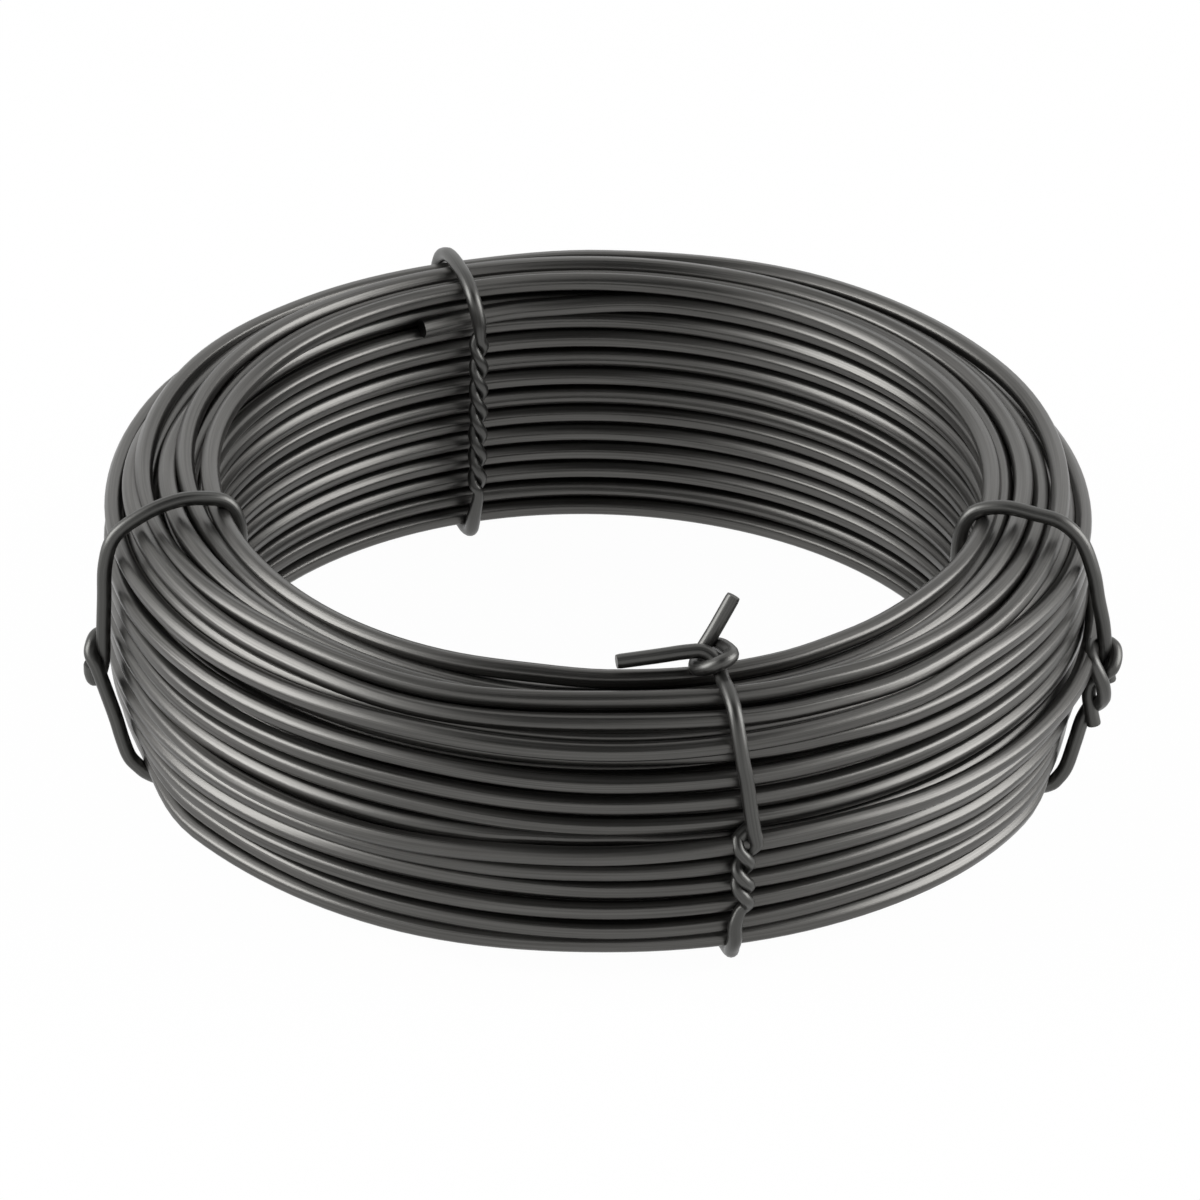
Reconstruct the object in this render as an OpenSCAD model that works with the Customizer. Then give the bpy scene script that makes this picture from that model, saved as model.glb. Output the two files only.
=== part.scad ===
// A coil of annealed steel binding wire, held by four ties of thinner wire.
// Z is up and is the axis of the coil. The origin is on the floor, in the middle of the bore.

/* [Wire] */
// Thickness of the coiled wire
wire_d = 3; // [2.8:0.1:3.2]
// Thickness of the tie wires
tie_d = 2.4; // [2:0.1:2.6]

/* [Coil] */
// Clear width of the bore
bore_d = 125.8; // [110:0.1:150]
// Layers of wire from the bore outwards
layers = 6; // [5:1:8]
// Rows of turns in the innermost layer
rows = 13; // [12:1:16]
// Height from one row to the next
row_pitch = 3.58; // [3.4:0.01:3.8]
// Distance from one layer to the next
layer_pitch = 2.82; // [2.8:0.01:3.2]
// How far the outermost layer sinks at the top
crown_drop = 5.2; // [3:0.1:6]
// How far the outermost layer rises at the foot
foot_lift = 0.6; // [0.2:0.1:2]

/* [Hidden] */

wire_r = wire_d/2;
tie_r = tie_d/2;
in_r = bore_d/2;
out_r = in_r + (layers - 1)*layer_pitch + wire_d;
base_z = tie_d;
top_z = base_z + (rows - 1)*row_pitch + wire_d;

// Every second layer lies this much lower at the top and higher at the foot
nest = 1.1;
// Room round a turn that lies in a bed of its own
bed_gap = 0.15;
first_row = rows - 2;
last_row = 5;
first_turn_az = 118.3;
last_turn_from_az = 62;
last_turn_beds_az = -41;
last_turn_climb = 21;
last_turn_end_az = -337;

// The ties: the room between two wires that touch, and the radius of their twists
touch_gap = 0.1;
twist_r = tie_r + touch_gap;
twist_step = 60;
// Room between the axis of a twist and the wall that it stands at
twist_room = twist_r + tie_r + 3*touch_gap;

// Where each tie stands round the coil, in degrees
left_az = 195.5;
back_az = 110;
right_az = -13;
front_az = -73;

// Each twist: distance of its axis from the coil's, its foot and its head
left_twist = [out_r + twist_room, base_z + 14, base_z + 26];
back_twist = [in_r - twist_room, base_z + 12, base_z + 37];
right_twist = [out_r + wire_d + twist_room, base_z + 13, base_z + 28];
front_twist = [out_r + twist_room, base_z + 10, base_z + 23.3];

// The stretch that every tie has in common: down the bore wall and out under the coil
under_run = [
    [in_r - 2.6, 0, base_z + 20], [in_r - 2.2, 0, base_z + 5], [in_r - 0.6, 0, tie_r + 1],
    [in_r + 2.2, 0, tie_r], [in_r + 5, 0, tie_r], [out_r - 8, 0, tie_r],
    [out_r - 2.4, 0, tie_r + 0.1], [out_r + 0.3, 0, base_z + 0.6], [out_r + 1.4, 0, base_z + 3.8]];

// Hand-placed points, each [distance from the axis, sideways, height]
left_run = concat([
    [out_r + 2.6, 0, top_z - 15], [out_r + 2.6, 0, top_z - 7.8], [out_r + 1, 0, top_z - 2.8],
    [out_r - 4, 0, top_z + 0.8], [out_r - 9.4, 0, top_z + 2], [in_r + 3.4, 0, top_z + 2],
    [in_r - 0.9, 0, top_z + 0.6], [in_r - 3, 0, top_z - 3.4], [in_r - 3.2, 0, top_z - 10]],
    under_run);

right_run = concat([
    [out_r + 4.2, 0, top_z - 14], [out_r + 3, 0, top_z - 8], [out_r + 0.9, 0, top_z - 2.4],
    [out_r - 2.8, 0, top_z + 0.8], [out_r - 8, 0, top_z + 2.1], [in_r + 4.2, 0, top_z + 2.1],
    [in_r, 0, top_z + 0.9], [in_r - 2, 0, top_z - 1.4], [in_r - 3, 0, top_z - 4.8],
    [in_r - 3.2, 0, top_z - 10]],
    under_run, [[out_r + 2.4, 0, base_z + 7.6]]);

back_run = concat([
    [in_r - 3.6, 0, top_z - 4.8], [in_r - 2, 0, top_z - 0.6], [in_r + 1.2, 0, top_z + 1.6],
    [in_r + 5, 0, top_z + 1.8], [out_r - 8, 0, top_z + 1.5], [out_r - 3.4, 0, top_z + 0.5],
    [out_r + 0.4, 0, top_z - 3.4], [out_r + 1.6, 0, top_z - 11], [out_r + 1.6, 0, base_z + 10]],
    [for (i = [8:-1:2]) under_run[i]], [[in_r - 2.6, 0, base_z + 6]]);

front_outer_run = [
    knot([0.46, -6.67, 0.54]), knot([0.29, -4, 1.08]), knot([0.25, -1.6, 1.46]),
    knot([0.38, -0.5, 1.6]), knot([1.08, 0.08, 1.17]), knot([2.54, 0.08, 0.65]),
    [out_r - 6, -0.7, top_z + 0.4], [out_r - 1.5, -0.8, top_z - 1.7], [out_r + 0.6, -0.6, top_z - 5.2],
    [out_r + 1.6, -0.2, top_z - 9.4], [out_r + 1.7, 0.6, top_z - 14], [out_r + 1.7, 1.3, top_z - 19]];

front_inner_run = concat([
    knot([-1, 2.17, 3.42]), knot([-0.83, 0.75, 2.04]), knot([-0.8, -0.54, 0.79]),
    knot([0.5, -1.46, 0.62]), knot([1.79, -1.08, 1.25]), knot([2.29, 0.08, 1.96]),
    knot([1.5, 1.33, 1.88]), knot([0.25, 1.46, 1.5]), knot([-0.83, 1.08, 0.33]),
    knot([-1, 0.67, -1.25])],
    under_run, [[out_r + 1.6, -0.8, base_z + 7]]);

// One of the two strands of a twist, from its foot up; p is [distance of its axis, foot, head]
function strand(p, wraps, phase) =
    let (n = round(wraps*360/twist_step))
    [for (s = [0:n]) [
        p[0] + twist_r*cos(phase - s*twist_step), twist_r*sin(phase - s*twist_step),
        p[1] + s*(p[2] - p[1])/n]];

// A point of the front tie's knot, in thicknesses of its wire from the top of the bore wall
function knot(p) = [in_r + p[0]*tie_d, p[1]*tie_d, top_z + p[2]*tie_d];

// The same points from the last to the first
function reversed(p) = [for (i = [len(p) - 1:-1:0]) p[i]];

// A straight lead out of a strand, after so many wraps
function lead(p, wraps, phase, height) = let (end = phase - wraps*360)
    [[p[0] + twist_r*cos(end), twist_r*sin(end), height]];

// A tie of one wire: it starts up one strand of the twist, goes round, and ends up the other
function looped(run, twist, wraps, phase) = concat(
    strand(twist, wraps, phase), lead(twist, wraps, phase, twist[2] + tie_d), run,
    lead(twist, 0, phase + 180, twist[1] - tie_d), strand(twist, wraps, phase + 180));

coil_colour = [0.27, 0.27, 0.26];
tie_colour = [0.36, 0.36, 0.34];

// Centres of the turns: layers count from the bore, rows from the foot
function layer_r(layer) = in_r + wire_r + layer*layer_pitch;
function crown(layer) = pow(layer/(layers - 1), 5);
function foot(layer) = pow(layer/(layers - 1), 3);
function lowest(layer) = base_z + wire_r + foot_lift*foot(layer) + nest*(layer % 2);
function highest(layer) = top_z - wire_r - crown_drop*crown(layer) - nest*(layer % 2);
function rows_in(layer) = round((highest(layer) - lowest(layer))/row_pitch) + 1;
function row_z(layer, row) =
    lowest(layer) + row*(highest(layer) - lowest(layer))/(rows_in(layer) - 1);

// A point on a radial plane: p is [distance from the axis, sideways, height]
function on_plane(az, p) = [p[0]*cos(az) - p[1]*sin(az), p[0]*sin(az) + p[1]*cos(az), p[2]];

// A smooth line through hand-placed points
function bend(a, b, c, d, t) =
    0.5*(2*b + (c - a)*t + (2*a - 5*b + 4*c - d)*t*t + (3*b - a - 3*c + d)*t*t*t);
function smooth(p, steps) = concat(
    [for (i = [0:len(p) - 2], s = [0:steps - 1])
        bend(p[max(i - 1, 0)], p[i], p[i + 1], p[min(i + 2, len(p) - 1)], s/steps)],
    [p[len(p) - 1]]);

// A soft step from 0 to 1
function ease(t) = let (u = max(0, min(1, t))) u*u*(3 - 2*u);

// Directions along the line, and one side direction carried along it without twisting
function unit(v) = v/norm(v);
function square_to(v, t) = unit(v - (v*t)*t);
function headings(p) =
    [for (i = [0:len(p) - 1]) unit(p[min(i + 1, len(p) - 1)] - p[max(i - 1, 0)])];
function carried(t) =
    [for (i = 0, n = square_to([0.3, 0.5, 0.8], t[0]);
          i < len(t);
          i = i + 1, n = square_to(n, t[min(i, len(t) - 1)])) n];

module tube(path, d, sides = 8) {
    t = headings(path);
    n = carried(t);
    last = (len(path) - 1)*sides;
    points = [for (i = [0:len(path) - 1], s = [0:sides - 1])
        path[i] + d/2*(cos(360*s/sides)*n[i] + sin(360*s/sides)*cross(t[i], n[i]))];
    skin = [for (i = [0:len(path) - 2], s = [0:sides - 1])
        let (a = i*sides + s, b = i*sides + (s + 1) % sides) [a, a + sides, b + sides, b]];
    caps = [[for (s = [0:sides - 1]) s], [for (s = [sides - 1:-1:0]) last + s]];
    polyhedron(points = points, faces = concat(caps, skin), convexity = 6);
}

module turn(layer, row, room = 0) {
    translate([layer_r(layer), row_z(layer, row)]) circle(r = wire_r + room, $fn = 48);
}

// The turned section: a solid heart with the turns standing out of all four sides
module coil_section() {
    last = layers - 1;
    difference() {
        union() {
            polygon(concat(
                [for (k = [0:last]) [layer_r(k), lowest(k)]],
                [for (k = [last:-1:0]) [layer_r(k), highest(k)]]));
            for (k = [0:last], row = [0, rows_in(k) - 1]) turn(k, row);
            for (row = [1:rows_in(0) - 2]) if (row != first_row) turn(0, row);
            for (row = [1:rows_in(last) - 2]) if (row != last_row) turn(last, row);
        }
        turn(0, first_row, bed_gap);
        turn(last, last_row, bed_gap);
    }
}

module coil() {
    color(coil_colour) rotate_extrude($fn = 180) coil_section();
}

// The first turn lies in its bed in the bore wall, and its cut end shows at the back
module first_turn() {
    turn_step = 8;
    path = [for (a = [0:turn_step:352])
        on_plane(first_turn_az - a, [layer_r(0), 0, row_z(0, first_row)])];
    color(coil_colour) tube(path, wire_d);
}

// The last turn comes down across the outer wall, passes behind the right tie's twist, and then
// lies in its bed for the rest of its way round
function crossed(az) = max(0, az - last_turn_beds_az);
module last_turn() {
    turn_step = 7;
    outside = wire_d + 2*touch_gap;
    down = row_z(layers - 1, last_row + 3) - row_z(layers - 1, last_row);
    path = [for (az = [last_turn_from_az:-turn_step:last_turn_end_az])
        on_plane(az, [
            layer_r(layers - 1) + outside*ease(crossed(az)/last_turn_climb), 0,
            row_z(layers - 1, last_row)
                + down*pow(crossed(az)/(last_turn_from_az - last_turn_beds_az), 1.2)])];
    color(coil_colour) tube(path, wire_d);
}

module tie_wire(az, route, steps = 2) {
    color(tie_colour) tube([for (p = smooth(route, steps)) on_plane(az, p)], tie_d);
}

module left_tie() {
    tie_wire(left_az, looped(left_run, left_twist, 1.5, 0));
}

module back_tie() {
    tie_wire(back_az, looped(back_run, back_twist, 4.5, 180));
}

module right_tie() {
    tie_wire(right_az, looped(right_run, right_twist, 2.5, 0));
}

// The front tie is two wires: they are twisted together on the outer wall and knotted on the rim
module front_tie_outer_wire() {
    tie_wire(front_az, concat(front_outer_run, reversed(strand(front_twist, 2, 90))));
}
module front_tie_inner_wire() {
    tie_wire(front_az, concat(front_inner_run, strand(front_twist, 2, 270)));
}

coil();
first_turn();
last_turn();
left_tie();
back_tie();
right_tie();
front_tie_outer_wire();
front_tie_inner_wire();
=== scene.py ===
import math

import bpy
import numpy as np
from mathutils import Matrix, Vector


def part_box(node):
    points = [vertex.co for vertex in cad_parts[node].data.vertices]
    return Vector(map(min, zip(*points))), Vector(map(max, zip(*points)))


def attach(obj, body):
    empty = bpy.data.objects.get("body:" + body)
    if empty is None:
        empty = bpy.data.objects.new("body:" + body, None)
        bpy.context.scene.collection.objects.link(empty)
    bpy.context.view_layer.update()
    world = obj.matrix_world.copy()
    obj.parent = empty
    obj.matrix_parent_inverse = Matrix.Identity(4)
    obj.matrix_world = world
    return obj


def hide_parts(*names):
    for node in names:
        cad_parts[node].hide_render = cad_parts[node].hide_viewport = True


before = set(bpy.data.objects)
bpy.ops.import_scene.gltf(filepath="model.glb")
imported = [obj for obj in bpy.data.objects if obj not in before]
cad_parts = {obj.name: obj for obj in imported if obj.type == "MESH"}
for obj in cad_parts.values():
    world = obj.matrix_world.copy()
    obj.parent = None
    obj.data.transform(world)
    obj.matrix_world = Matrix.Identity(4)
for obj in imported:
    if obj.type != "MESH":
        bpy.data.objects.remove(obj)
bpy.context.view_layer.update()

# The studio: a white floor that runs into a white surround, with soft light boxes at both sides
# and behind. The coil is looked down on from the front at 30 degrees, through a long lens.
scene = bpy.context.scene
scene.view_settings.view_transform = "Standard"
mm = 0.001
coil_foot, coil_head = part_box("coil")
middle = Vector((0, 0, (coil_foot[2] + coil_head[2]) / 2))

looking_down = 0.524
lens_roll = 0.0209
lens_distance = 1869 * mm
framing_right = 0.57 * mm
framing_up = -2.35 * mm
back = Vector((0, -math.cos(looking_down), math.sin(looking_down)))
level = Vector((1, 0, 0))
upright = Vector((0, math.sin(looking_down), math.cos(looking_down)))
right = level * math.cos(lens_roll) + upright * math.sin(lens_roll)
up = upright * math.cos(lens_roll) - level * math.sin(lens_roll)
lens = bpy.data.cameras.new("camera")
lens.sensor_width = 36
lens.lens = 344.3
lens.clip_end = 20
camera = bpy.data.objects.new("camera", lens)
scene.collection.objects.link(camera)
camera.matrix_world = Matrix.Translation(
    middle + back * lens_distance + right * framing_right + up * framing_up
) @ Matrix((right, up, back)).transposed().to_4x4()
scene.camera = camera


def seen_directly(nodes, links):
    """1 for the rays that show the surround: to the camera, in a reflection or through glass."""
    path = nodes.new("ShaderNodeLightPath")
    first = nodes.new("ShaderNodeMath")
    first.operation = "MAXIMUM"
    links.new(path.outputs["Is Camera Ray"], first.inputs[0])
    links.new(path.outputs["Is Glossy Ray"], first.inputs[1])
    both = nodes.new("ShaderNodeMath")
    both.operation = "MAXIMUM"
    links.new(first.outputs[0], both.inputs[0])
    links.new(path.outputs["Is Transmission Ray"], both.inputs[1])
    return both.outputs[0]


world = bpy.data.worlds.new("white surround")
scene.world = world
world.use_nodes = True
surround = world.node_tree
fill = surround.nodes["Background"]
fill.inputs["Color"].default_value = (1, 1, 1, 1)
fill_strength = surround.nodes.new("ShaderNodeMapRange")
fill_strength.inputs["To Min"].default_value = 0.3
fill_strength.inputs["To Max"].default_value = 1.0
surround.links.new(seen_directly(surround.nodes, surround.links), fill_strength.inputs["Value"])
surround.links.new(fill_strength.outputs["Result"], fill.inputs["Strength"])

floor_half = 3.0
floor_mesh = bpy.data.meshes.new("floor")
floor_mesh.from_pydata(
    [(x, y, 0) for x, y in ((-floor_half, -floor_half), (floor_half, -floor_half),
                            (floor_half, floor_half), (-floor_half, floor_half))],
    [], [(0, 1, 2, 3)])
floor = bpy.data.objects.new("floor", floor_mesh)
scene.collection.objects.link(floor)
paper = bpy.data.materials.new("white paper")
paper.use_nodes = True
paper_nodes, paper_links = paper.node_tree.nodes, paper.node_tree.links
paper_face = paper_nodes["Principled BSDF"]
paper_face.inputs["Base Color"].default_value = (0.9, 0.9, 0.9, 1)
paper_face.inputs["Roughness"].default_value = 0.9
paper_glow = paper_nodes.new("ShaderNodeEmission")
paper_mix = paper_nodes.new("ShaderNodeMixShader")
paper_share = paper_nodes.new("ShaderNodeMapRange")
paper_share.inputs["To Max"].default_value = 0.98
paper_links.new(seen_directly(paper_nodes, paper_links), paper_share.inputs["Value"])
paper_links.new(paper_share.outputs["Result"], paper_mix.inputs["Fac"])
paper_links.new(paper_face.outputs[0], paper_mix.inputs[1])
paper_links.new(paper_glow.outputs[0], paper_mix.inputs[2])
paper_links.new(paper_mix.outputs[0], paper_nodes["Material Output"].inputs["Surface"])
floor_mesh.materials.append(paper)


def light_box(name, place, width, height, watts):
    """A soft rectangular lamp that faces the middle of the coil."""
    lamp = bpy.data.lights.new(name, "AREA")
    lamp.shape = "RECTANGLE"
    lamp.size = width
    lamp.size_y = height
    lamp.energy = watts
    box = bpy.data.objects.new(name, lamp)
    scene.collection.objects.link(box)
    box.location = place
    box.rotation_euler = (middle - Vector(place)).to_track_quat("-Z", "Y").to_euler()


light_box("left light", (-0.8, -0.1, 0.38), 0.6, 0.65, 8.8)
light_box("right light", (0.8, 0, 0.38), 0.6, 0.65, 8.3)
light_box("back light", (0, 0.85, 0.42), 1.4, 0.4, 0.8)

# A black card overhead in front keeps the upper sides of the front turns dark.
card_mesh = bpy.data.meshes.new("black card")
card_mesh.from_pydata([(x, y, 0.7) for x, y in ((-0.4, -1.1), (0.4, -1.1), (0.4, -0.05), (-0.4, -0.05))],
                      [], [(0, 1, 2, 3)])
card = bpy.data.objects.new("black card", card_mesh)
scene.collection.objects.link(card)
black = bpy.data.materials.new("black card")
black.use_nodes = True
black.node_tree.nodes["Principled BSDF"].inputs["Base Color"].default_value = (0.01, 0.01, 0.01, 1)
black.node_tree.nodes["Principled BSDF"].inputs["Roughness"].default_value = 0.9
card_mesh.materials.append(black)

# The coiled wire: one length of annealed 3 mm steel, drawn to a section with six soft flats.
# It is laid row by row in six layers, each layer a little lower than the last at the shoulders.
wire_d = 3 * mm
layers = 6
layer_pitch = 2.82 * mm
row_pitch = 3.58 * mm
out_r = coil_head[0]
in_r = out_r - wire_d - (layers - 1) * layer_pitch
crown_drop = 5.2 * mm
foot_lift = 0.6 * mm
nest = 1.1 * mm
start_az = 118.3
steps_per_turn = 150


def ease(t):
    """A soft step from 0 to 1."""
    t = np.clip(t, 0, 1)
    return t * t * (3 - 2 * t)


def layer_rows(layer):
    """The heights of the rows of one layer, from the foot up."""
    outward = layer / (layers - 1)
    low = coil_foot[2] + wire_d / 2 + foot_lift * outward ** 3 + nest * (layer % 2)
    high = coil_head[2] - wire_d / 2 - crown_drop * outward ** 5 - nest * (layer % 2)
    return np.linspace(low, high, round((high - low) / row_pitch) + 1)


def laying_order():
    """Where each turn lies, as (layer, row), in the order in which the wire was wound."""
    order = [(0, row) for row in range(11, -1, -1)]
    order += [(1, row) for row in range(12)]
    order += [(2, row) for row in range(12, -1, -1)]
    order += [(3, row) for row in range(12)]
    order += [(4, row) for row in range(11, -1, -1) if row != 9]
    return order + [(5, row) for row in range(11)]


def wander(rng, places, reach):
    """A slow random drift along the wire, a few swings to a turn."""
    drift = np.zeros_like(places)
    for swing in (0.7, 1.3, 2.4, 3.7):
        drift += rng.uniform(0.5, 1) / swing ** 0.5 * np.sin(2 * np.pi * (swing * places + rng.random()))
    return reach * drift / 2


# Where single turns stray from their rows: (azimuth, outwards in mm, upwards in mm)
strays = {
    (0, 12): ((-63, 0, -1.5), (-75, 0, -1.5), (-87, 0, -1.3), (-100, 0, -0.8), (-112, 0, -1), (186, -1.5, 0),
              (118, 0, 0), (0, -0.7, 0), (-30, 0, -0.4), (-51, 0, -1.1)),
    (0, 11): ((118.4, -1.3, -1.3), (100, -0.7, -0.8), (80, 0, 0), (0, 0, 0), (-63, 0, -0.9), (-87, 0, -0.8),
              (-125, 0, -0.3), (186, -0.9, -0.3)),
    (0, 10): ((60, 0, 0), (90, 0.6, -0.3), (130, 0, 0)),
    (1, 11): ((-87, 0, -2.5), (-63, 0, -2.5), (0, -1.8, 0), (60, 0, 0), (118, 0, 0), (186, -1.8, 0)),
    (2, 12): ((-87, 0, -3), (-63, 0, -2.6), (0, -1.3, 0), (90, 0, 0), (186, -0.3, 0)),
    (3, 11): ((-87, 0, 1.3), (-63, 0, 0.4), (-51, 0, -0.2), (0, -1.3, -0.6), (90, 0, -0.5), (186, 0, -0.9),
              (-132, 0, 0.6), (-112, 0, 0)),
    (4, 11): ((-87, 0, -1), (-63, 0, -2.1), (-51, 0, -2.6), (-38, 0, -2), (0, -0.8, 0.5), (30, 0, 0.6),
              (60, 0, 0.8), (90, 0, -0.1), (108, 0, -0.7), (130, 0, -0.5), (155, 0, 0), (186, 0, -0.3), (-132, 0, -1.1), (-112, 0, -2)),
    (4, 2): ((-143, 0, 0), (197, -1.1, 0), (160, 0, 0), (23, 0, 0), (-12, -1, 0), (-45, 0, 0)),
    (4, 1): ((-143, 0, 0), (197, -1.8, 0), (160, 0, 0), (23, 0, 0), (-12, -1.8, 0), (-45, 0, 0)),
    (4, 0): ((-143, 0, 0), (197, -2.6, 0), (160, 0, 0), (23, 0, 0), (-12, -2.2, 0), (-45, 0, 0)),
    (5, 10): ((-38, 0, 1.5), (-51, 0, 0.4), (-87, 0, 0), (-112, 0, 0.4), (-143, 0, -0.2), (180, 0, 0),
              (155, 0.1, 0.6), (130, 0, -0.3), (90, 0, 0.1), (60, 0, 0.6), (25, 0.5, 1.3), (0, 0, 0.7)),
    (5, 9): ((100, -2.3, 1.3), (60, 0, 3.5), (20, 0, 3.5), (-38, 0, 1.2), (-51, 0, 1.2), (-63, -0.9, 1.3),
             (-87, -2.3, 1.3)),
    (5, 8): ((-38, 0, 0.6), (-63, 0, 1), (-87, 0, 1.3), (-112, 0, 2.1), (-143, 0, 1.6), (195, 0, 1.1),
             (23, 0, 1.1)),
    (5, 7): ((-38, 0, 0.5), (-63, 0, 0.4), (-87, 0, 0.7), (-112, 0, 1.3), (-143, 0, 0.7), (195, 0, 1.5),
             (23, 0, 1.5)),
    (5, 6): ((-38, 0, 0.2), (-63, 0, 0), (-87, 0, 0.4), (-112, 0, 1.1), (-143, 0, 0.7), (195, 0, 1.8),
             (23, 0, 1.8)),
    (5, 5): ((-38, 0, -0.3), (-63, -0.3, 0), (-80, -1, 0.8), (-87, -1.2, 1.2), (-95, -0.8, 1.3),
             (-103, 0, 1.3), (-112, 0, 1), (-143, 0, 1.2), (195, 0, 2.1), (23, 0, 2.1)),
    (5, 4): ((-38, 0, -1.4), (-51, 0, -0.7), (-63, 0, -0.4), (-87, 0, -0.8), (-103, 0, -1.1),
             (-122, 0, -1.5), (-143, 0, -1.4), (195, 0, -1.2), (23, 0, -1.2)),
    (5, 3): ((-38, 0, -1.2), (-51, 0, -0.6), (-87, 0, -0.7), (-103, 0, -0.4), (-143, 0, -0.9), (197, -0.6, -0.9), (160, 0, -0.9),
             (23, 0, -0.9), (-10, -0.5, -1)),
    (5, 2): ((-38, 0, -1.2), (-51, 0, -0.5), (-87, 0, -1), (-112, 0, -0.8), (-143, 0, -0.6), (197, -1.3, -0.6),
             (160, 0, -0.6), (23, 0, -0.6), (-10, -1.3, -0.9)),
    (5, 1): ((-34, -0.1, -0.6), (-51, -0.1, -0.3), (-87, -0.2, -1.2), (-112, -0.2, -0.9), (-143, -0.5, 0.3),
             (197, -2.6, 0), (160, 0, 0), (23, 0, -0.3), (-10, -2.1, -0.4)),
    (5, 0): ((-28, -0.3, -0.3), (-45, 0.1, -0.1), (-63, -0.2, -0.3), (-87, -0.4, -0.3), (-112, -0.1, -0.7),
             (-143, -0.1, 0), (197, -3.2, 0.2), (160, 0, 0), (23, 0, 0), (-8, -2.3, 0)),
}


def stray(turn_at, azimuth):
    """How far a turn lies outwards and upwards of its row at each azimuth, in soft steps."""
    marks = sorted((az % 360, outwards, upwards) for az, outwards, upwards in strays.get(turn_at, ((0, 0, 0),)))
    marks = [(marks[-1][0] - 360, *marks[-1][1:])] + marks + [(marks[0][0] + 360, *marks[0][1:])]
    at = np.array(marks)
    index = np.clip(np.searchsorted(at[:, 0], azimuth % 360, side="right") - 1, 0, len(at) - 2)
    share = ease((azimuth % 360 - at[index, 0]) / (at[index + 1, 0] - at[index, 0]))
    return mm * (at[index, 1:] + (at[index + 1, 1:] - at[index, 1:]) * share[:, None]).T


# In a turn the wire keeps to its row, and then slides into the next one: (from, length) in turns
slides = {0: (0.62, 0.36), 1: (0.76, 0.2), 2: (0.74, 0.22), 3: (0.77, 0.2), 4: (0.75, 0.2), 5: (0.273, 0.161)}


def centre(turn_at, azimuth):
    """Distance from the axis and height of one row's centre line at each azimuth."""
    layer, row = turn_at
    nominal = np.array((in_r + wire_d / 2 + layer * layer_pitch, layer_rows(layer)[row]))
    return nominal[:, None] + stray(turn_at, azimuth)


def turn_route(turn, order):
    """Distance from the axis and height of one turn's points, from the start azimuth on."""
    part = np.linspace(0, 1, steps_per_turn + 1)
    azimuth = start_az - 360 * part
    here = centre(order[turn], azimuth)
    there = centre(order[turn + 1], azimuth)
    slide_from, slide_length = slides[order[turn + 1][0]]
    return here + (there - here) * ease((part - slide_from) / slide_length)


# The last turn lies outside the others: (azimuth, distance from the axis, height) in mm
last_turn_line = (
    (118.3, 78.5, 40.56), (105, 78.6, 40.5), (80, 79.6, 37.2), (62, 79.6, 33.6), (30, 79.7, 30.4),
    (12, 79.7, 29), (5, 80, 28.6), (0, 80.6, 28.2), (-6, 81.3, 27.5), (-13, 82, 26.5), (-22, 82.4, 24.8),
    (-30, 82, 23.8), (-45, 81.7, 23.6), (-62, 81.7, 24.4),
    (-73, 81.1, 23.9), (-87, 80.4, 22.8), (-100, 80.4, 22.3), (-112, 81, 21.8), (-135, 80.6, 21.7),
    (-158, 78.5, 21.7), (-200, 78.5, 21.8), (-300, 78.5, 22), (-337, 78.6, 23))


def flats(roll):
    """The wire's section and its normals: six bowed flats with rounded corners, turned by roll."""
    flat_to_flat = 1.0 * wire_d / 2
    flat_half = 0.3 * wire_d / 2
    facing = np.radians(60) * np.repeat(np.arange(6), 3) + np.tile([0, 0, math.radians(30)], 6) + roll[:, None]
    across = np.tile([-flat_half, flat_half, 0], 6)
    reach = np.tile([flat_to_flat, flat_to_flat, 1.05 * wire_d / 2], 6)
    x = reach * np.cos(facing) - across * np.sin(facing)
    y = reach * np.sin(facing) + across * np.cos(facing)
    bowed = facing + np.tile(np.radians([-7, 7, 0]), 6)
    return x, y, np.cos(bowed), np.sin(bowed)


def swept(name, path, section, side, lift, along, material):
    """A closed tube: section points set out along side and lift at each point of the path."""
    x, y, normal_x, normal_y = section
    rings, points = x.shape
    verts = path[:, None] + x[:, :, None] * side[:, None] + y[:, :, None] * lift[:, None]
    normals = normal_x[:, :, None] * side[:, None] + normal_y[:, :, None] * lift[:, None]
    ring = np.arange(rings - 1)[:, None] * points
    first = np.arange(points)[None]
    second = (first + 1) % points
    quads = np.stack([ring + first, ring + second, ring + points + second, ring + points + first], axis=-1)
    quads = quads.reshape(-1, 4)
    start_cap = list(range(points))[::-1]
    end_cap = [(rings - 1) * points + p for p in range(points)]
    mesh = bpy.data.meshes.new(name)
    mesh.from_pydata(verts.reshape(-1, 3).tolist(), [], quads.tolist() + [start_cap, end_cap])
    uv = mesh.uv_layers.new(name="along the wire")
    around = np.stack([first, first + 1, first + 1, first], axis=-1) / points
    around = np.broadcast_to(around, (rings - 1, points, 4)).reshape(-1)
    corners = quads.reshape(-1)
    coords = np.zeros((len(mesh.loops), 2))
    coords[:len(corners)] = np.column_stack([along[corners // points], around])
    uv.data.foreach_set("uv", coords.ravel())
    facing = np.empty((len(mesh.loops), 3))
    facing[:len(corners)] = normals.reshape(-1, 3)[corners]
    facing[len(corners):len(corners) + points] = path[0] - path[1]
    facing[len(corners) + points:] = path[-1] - path[-2]
    facing /= np.linalg.norm(facing, axis=1)[:, None]
    mesh.polygons.foreach_set("use_smooth", [True] * len(mesh.polygons))
    mesh.normals_split_custom_set(facing.tolist())
    mesh.materials.append(material)
    piece = bpy.data.objects.new(name, mesh)
    scene.collection.objects.link(piece)
    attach(piece, "root")
    return piece


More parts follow.
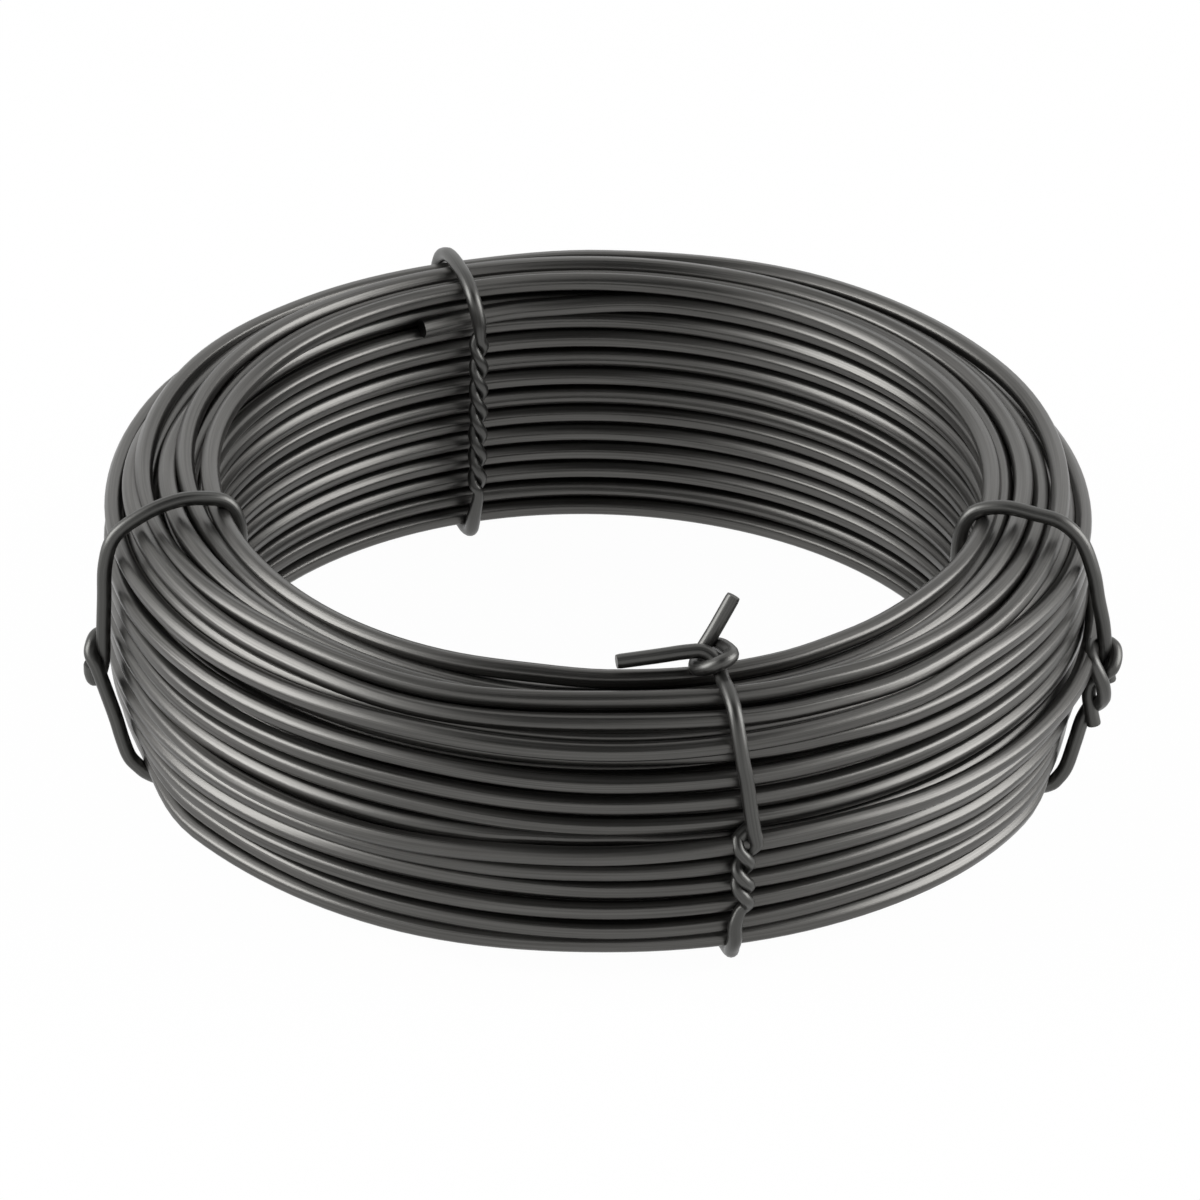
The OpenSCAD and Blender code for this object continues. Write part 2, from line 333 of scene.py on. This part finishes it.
def drawn_steel(name, dark, light, dull, bright, mark_size):
    """Dark annealed steel with fine drawing marks along the wire and small scuffs."""
    steel = bpy.data.materials.new(name)
    steel.use_nodes = True
    nodes, links = steel.node_tree.nodes, steel.node_tree.links
    face = nodes["Principled BSDF"]
    face.inputs["Metallic"].default_value = 0.9
    place = nodes.new("ShaderNodeUVMap")
    place.uv_map = "along the wire"
    stretch = nodes.new("ShaderNodeMapping")
    stretch.inputs["Scale"].default_value = (0.5, 14, 1)
    links.new(place.outputs["UV"], stretch.inputs["Vector"])
    marks = nodes.new("ShaderNodeTexNoise")
    marks.inputs["Scale"].default_value = mark_size
    marks.inputs["Detail"].default_value = 5
    links.new(stretch.outputs["Vector"], marks.inputs["Vector"])
    patches = nodes.new("ShaderNodeTexNoise")
    patches.inputs["Scale"].default_value = 55
    patches.inputs["Detail"].default_value = 3
    body_place = nodes.new("ShaderNodeTexCoord")
    links.new(body_place.outputs["Object"], patches.inputs["Vector"])
    both = nodes.new("ShaderNodeMix")
    both.inputs["Factor"].default_value = 0.15
    links.new(marks.outputs["Fac"], both.inputs["A"])
    links.new(patches.outputs["Fac"], both.inputs["B"])
    tone = nodes.new("ShaderNodeValToRGB")
    tone.color_ramp.elements[0].position = 0.35
    tone.color_ramp.elements[0].color = (*dark, 1)
    tone.color_ramp.elements[1].position = 0.65
    tone.color_ramp.elements[1].color = (*light, 1)
    links.new(both.outputs["Result"], tone.inputs["Fac"])
    links.new(tone.outputs["Color"], face.inputs["Base Color"])
    sheen = nodes.new("ShaderNodeMapRange")
    sheen.inputs["From Min"].default_value = 0.3
    sheen.inputs["From Max"].default_value = 0.7
    sheen.inputs["To Min"].default_value = bright
    sheen.inputs["To Max"].default_value = dull
    links.new(both.outputs["Result"], sheen.inputs["Value"])
    links.new(sheen.outputs["Result"], face.inputs["Roughness"])
    grain = nodes.new("ShaderNodeBump")
    grain.inputs["Strength"].default_value = 0.05
    grain.inputs["Distance"].default_value = 0.0003
    links.new(marks.outputs["Fac"], grain.inputs["Height"])
    links.new(grain.outputs["Normal"], face.inputs["Normal"])
    return steel


coil_steel = drawn_steel("drawn annealed steel", (0.068, 0.0665, 0.063), (0.112, 0.1095, 0.1045), 0.38, 0.28, 3)
shown = {"wire_layer_1": ("coil", "first_turn"), "wire_last_turn": ("coil", "last_turn")}


def wound_wire(name, places, line, rolls=True):
    """One stretch of the coiled wire; places counts turns from the start azimuth."""
    az = np.radians(start_az) - 2 * np.pi * places
    outward = np.column_stack([np.cos(az), np.sin(az), np.zeros_like(az)])
    path = outward * line[0][:, None] + np.array([0, 0, 1]) * line[1][:, None]
    roll = wander(np.random.default_rng(3), places / 4, 1.3) if rolls else 0.25 * np.sin(2 * np.pi * places)
    lift = np.tile([0.0, 0.0, 1.0], (len(az), 1))
    piece = swept(name, path, flats(roll), outward, lift, places * 9, coil_steel)
    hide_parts(*shown.get(name, ("coil",)))


winding = laying_order()
routes = {layer: [] for layer in range(layers)}
for turn, (layer, row) in enumerate(winding[:-1]):
    routes[layer].append(turn_route(turn, winding)[:, :-1] if winding[turn + 1][0] == layer
                         else turn_route(turn, winding))
first_turn_of = {layer: winding.index(next(at for at in winding if at[0] == layer)) for layer in routes}
chance = np.random.default_rng(7)
for layer, turns in routes.items():
    line = np.concatenate(turns, axis=1)
    if layer == layers - 1:
        line = np.concatenate([line, turn_route(len(winding) - 2, winding)[:, -1:]], axis=1)
    places = first_turn_of[layer] + np.arange(line.shape[1]) / steps_per_turn
    ends = ease((places - places[0]) / 0.1) * ease((places[-1] - places) / 0.1)
    line = line + ends * np.array([wander(chance, places, 0.1 * mm), wander(chance, places, 0.12 * mm)])
    wound_wire(f"wire_layer_{layer + 1}", places, line)

# The rim turn: where it joins the others isn't seen, so it is closed on itself.
rim_places = np.linspace(0, 1, steps_per_turn + 1)
wound_wire("wire_rim_turn", rim_places, centre((0, 12), start_az - 360 * rim_places), rolls=False)

at = np.array(last_turn_line)[::-1]
last_places = np.linspace(0, (start_az + 337) / 360, 190)
azimuth = start_az - 360 * last_places
index = np.clip(np.searchsorted(at[:, 0], azimuth, side="right") - 1, 0, len(at) - 2)
share = ((azimuth - at[index, 0]) / (at[index + 1, 0] - at[index, 0]))[:, None]
slope = np.gradient(at[:, 1:], at[:, 0], axis=0)
gap = (at[index + 1, 0] - at[index, 0])[:, None]
line = (at[index, 1:] * (1 + 2 * share) * (1 - share) ** 2 + slope[index] * gap * share * (1 - share) ** 2
        + at[index + 1, 1:] * share ** 2 * (3 - 2 * share) - slope[index + 1] * gap * share ** 2 * (1 - share))
wound_wire("wire_last_turn", len(winding) - 1 + last_places, line.T * mm)

# The ties: four loops of softer 2.4 mm wire, round and smooth, pulled over the coil and twisted shut.
# Left, right and back are one wire each; the front tie is two wires, also knotted on the rim.
tie_d = 2.4 * mm
tie_steel = drawn_steel("soft tie steel", (0.06, 0.06, 0.057), (0.095, 0.094, 0.09), 0.42, 0.34, 2)
top_z = coil_head[2] / mm
base_z = coil_foot[2] / mm
inner, outer, tie_r = in_r / mm, out_r / mm, tie_d / 2 / mm
under_run = [
    (inner - 2.6, 0, base_z + 20), (inner - 2.2, 0, base_z + 5), (inner - 0.6, 0, tie_r + 1),
    (inner + 2.2, 0, tie_r), (inner + 5, 0, tie_r), (outer - 8, 0, tie_r)]
left_run = [
    (outer + 2.3, 0.2, top_z - 20.8), (outer + 2.1, 0, top_z - 14.8), (outer + 1.9, 0, top_z - 8.3),
    (outer + 0.3, 0, top_z - 3.3), (outer - 4.5, 0, top_z + 0.1), (outer - 9.4, 0, top_z + 1.8),
    (inner + 3.4, 0, top_z + 1.9), (inner - 0.9, 0, top_z + 0.6), (inner - 3, 0, top_z - 3.4),
    (inner - 3.2, 0, top_z - 10)] + under_run + [
    (outer - 6, 3.4, tie_r + 0.2), (outer - 4, 4.6, base_z + 0.5), (outer - 2.6, 4.7, base_z + 1.9),
    (outer - 1.1, 4.2, base_z + 3.7), (outer - 0.2, 3.3, base_z + 6.3), (outer + 0.8, 2.4, base_z + 10.3), (outer + 1.9, 1.8, base_z + 14),
    (outer + 3, 2, base_z + 17.5), (outer + 3.6, 1.4, base_z + 19.5), (outer + 4.3, 0.2, base_z + 21.3),
    (outer + 3.9, -0.8, base_z + 22.6), (outer + 2.9, -2.2, base_z + 23.3), (outer + 1.6, -2.6, base_z + 23.4)]
left_end = [
    (outer + 4.2, -0.6, base_z + 19.2), (outer + 4, -1.2, base_z + 17), (outer + 3.4, -1.6, base_z + 15.6),
    (outer + 2.7, -1.4, base_z + 16.4), (outer + 2.3, -0.6, base_z + 19), (outer + 2.3, 0.1, base_z + 21.6)]
right_run = [
    (outer + 5.1, 1.4, base_z + 17.4), (outer + 4.7, 1.5, base_z + 19.2), (outer + 4.3, 1.3, base_z + 21.5),
    (outer + 4.2, 0.8, base_z + 24.5), (outer + 3.8, 0.45, base_z + 28.6),
    (outer + 2.9, 0.2, top_z - 13), (outer + 1.9, 0, top_z - 7.8), (outer - 0.2, 0, top_z - 2.6),
    (outer - 3.6, 0, top_z + 0.4), (outer - 8, 0, top_z + 1.3), (inner + 4.2, 0, top_z + 1.8),
    (inner, 0, top_z + 0.7), (inner - 2, 0, top_z - 1.4), (inner - 3, 0, top_z - 4.8),
    (inner - 3.2, 0, top_z - 10)] + under_run + [
    (outer - 5, -3.4, tie_r + 0.2), (outer - 2.8, -4.8, base_z + 0.3), (outer - 1.6, -4.6, base_z + 1.5), (outer - 0.4, -3.6, base_z + 3.5),
    (outer + 0.6, -2, base_z + 7.6), (outer + 1.3, -0.6, base_z + 10.7), (outer + 2.4, 0.2, base_z + 12.9),
    (outer + 3.8, -0.8, base_z + 14.2), (outer + 5.1, -3, base_z + 16.9), (outer + 5.1, -4.4, base_z + 20),
    (outer + 4.3, -4.7, base_z + 22.2), (outer + 3.3, -4.2, base_z + 23.8), (outer + 2.5, -2.7, base_z + 24.5),
    (outer + 2.2, -0.6, base_z + 24.6), (outer + 2.8, 1.8, base_z + 24.2), (outer + 4, 2.6, base_z + 23.9),
    (outer + 5.5, 1.8, base_z + 23.6), (outer + 6.1, 0.4, base_z + 22.6), (outer + 5.9, -1, base_z + 21.4),
    (outer + 5, -1.3, base_z + 20.4), (outer + 3.8, -0.9, base_z + 19.4), (outer + 2.7, -0.6, base_z + 18),
    (outer + 2.3, -1, base_z + 16), (outer + 2.9, -1.6, base_z + 13.2), (outer + 3.5, -1.8, base_z + 10.8)]
back_run = [
    (inner - 4.3, 0.4, top_z - 4.8), (inner - 2.8, 0.9, top_z - 1),
    (inner + 0.6, 0.9, top_z + 0.7), (inner + 5, 0.8, top_z + 1), (outer - 8, 0.6, top_z + 0.6),
    (outer - 4.4, 0.4, top_z - 0.5), (outer - 0.6, 0.3, top_z - 3.4), (outer + 1.4, 0, top_z - 10),
    (outer + 1.6, 0, base_z + 10), (outer + 1.4, 0, base_z + 3.8), (outer + 0.3, 0, base_z + 0.6),
    (outer - 2.4, 0, tie_r + 0.1)] + under_run[:1:-1] + [(inner - 2.8, 0.3, base_z + 3.6)]


def knot(outwards, sideways, upwards):
    """A point of the front tie's knot, in thicknesses of its wire from the top of the bore wall."""
    return inner + 1.8 + 2 * tie_r * outwards, 2 * tie_r * sideways, top_z - 2 + 2 * tie_r * upwards


front_outer_run = [
    knot(-0.29, -6.67, 1.37), knot(-0.1, -4, 1.5), knot(0.1, -2, 1.65), knot(0.38, -0.9, 1.65),
    knot(1.08, -0.25, 1.17), knot(2.54, -0.25, 0.65), (outer - 6, -0.7, top_z - 0.5),
    (outer - 2, -0.8, top_z - 2), (outer + 0.4, -0.7, top_z - 5.6), (outer + 1.6, -0.3, top_z - 9.6),
    (outer + 1.8, 0.3, top_z - 13), (outer + 1.9, 1, top_z - 18), (outer + 2.2, 1.6, top_z - 22), (outer + 2.2, 1.9, top_z - 24.2)]
front_inner_run = [
    knot(-1.4, 1.6, 4.5), knot(-1.1, 0.3, 2.4), knot(-0.8, -0.8, 0.79), knot(0.5, -1.46, 0.62),
    knot(1.79, -1.08, 1.25), knot(2.2, -0.2, 1.8), knot(1.6, 0.6, 1.85), knot(0.35, 0.7, 1.6),
    knot(-1.4, 0.55, 0.9), knot(-1.75, 0.45, -0.6)] + under_run + [
    (outer - 2.4, -0.3, tie_r + 1), (outer - 0.2, -0.7, base_z + 1.8), (outer + 1.3, -0.8, base_z + 4.2),
    (outer + 1.5, -0.9, base_z + 6.7)]


def strand(twist, wraps, phase):
    """One of the two strands of a twist, from its foot up; hard twisting draws it thinner."""
    steps = round(wraps * 6)
    axis, foot, head, reach, drawn_to = twist
    return [(axis + reach * math.cos(math.radians(phase - 60 * s)),
             reach * math.sin(math.radians(phase - 60 * s)),
             foot + s * (head - foot) / steps, drawn_to) for s in range(steps + 1)]


def smoothed(route, steps):
    """A smooth line through given points; a fourth number tells how thin the wire is there."""
    points = np.array([(*point, 1)[:4] for point in route], float)
    padded = np.vstack([points[:1], points, points[-1:]])
    t = np.arange(steps)[:, None] / steps
    a, b, c, d = (padded[k:len(padded) - 3 + k, None] for k in range(4))
    line = 0.5 * (2 * b + (c - a) * t + (2 * a - 5 * b + 4 * c - d) * t ** 2
                  + (3 * b - a - 3 * c + d) * t ** 3)
    return np.vstack([line.reshape(-1, 4), points[-1:]])


def tie_wire(name, azimuth, route, *nodes):
    """A round wire along a route that is given as distance from the axis, sideways and height."""
    line = smoothed(route, 6)
    c, s = math.cos(math.radians(azimuth)), math.sin(math.radians(azimuth))
    path = mm * line[:, :3] @ np.array([[c, s, 0], [-s, c, 0], [0, 0, 1]])
    heading = np.gradient(path, axis=0)
    heading /= np.linalg.norm(heading, axis=1)[:, None]
    side = [np.cross(heading[0], (0.3, 0.5, 0.8))]
    for forward in heading[1:]:
        side.append(side[-1] - forward * (side[-1] @ forward))
    side = np.array([v / np.linalg.norm(v) for v in side])
    lift = np.cross(heading, side)
    angle = np.broadcast_to(np.arange(14) * 2 * np.pi / 14, (len(path), 14))
    x, y = np.cos(angle), np.sin(angle)
    run = np.concatenate([[0], np.cumsum(np.linalg.norm(np.diff(path, axis=0), axis=1))])
    ring = tie_d / 2 * line[:, 3:] * np.where((run < 1e-5) | (run > run[-1] - 1e-5), 0.92, 1)[:, None]
    piece = swept(name, path, (x * ring, y * ring, x, y), side, lift, run * 18, tie_steel)
    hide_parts(*nodes)


# Each twist: distance from the axis, foot, head, reach of a strand from its middle, thinness
back_twist = (inner - 3.3, base_z + 8.5, base_z + 38, 0.78, 0.74)
front_twist = (outer + 2.1, base_z + 9, base_z + 22.4, 1, 0.84)
front_tip = [(outer + 1.3, -0.5, base_z + 22.8), (outer + 0.8, 0.9, base_z + 23.7), (outer + 0.7, 1.8, base_z + 24)]
upper_twist = (outer + 2.1, base_z + 12.35, base_z + 20.17, 1, 0.84)
tie_wire("tie_left", 195.5, left_end + left_run, "left_tie")
tie_wire("tie_back", 110, strand(back_twist, 3.5, 0) + back_run + strand(back_twist, 3.5, 180), "back_tie")
tie_wire("tie_right", -13, right_run, "right_tie")
tie_wire("tie_front_outer", -73, front_outer_run + strand(upper_twist, 7 / 6, 180)[::-1], "front_tie_outer_wire")
tie_wire("tie_front_inner", -73, front_inner_run + strand(front_twist, 11 / 6, 180) + front_tip,
         "front_tie_inner_wire")
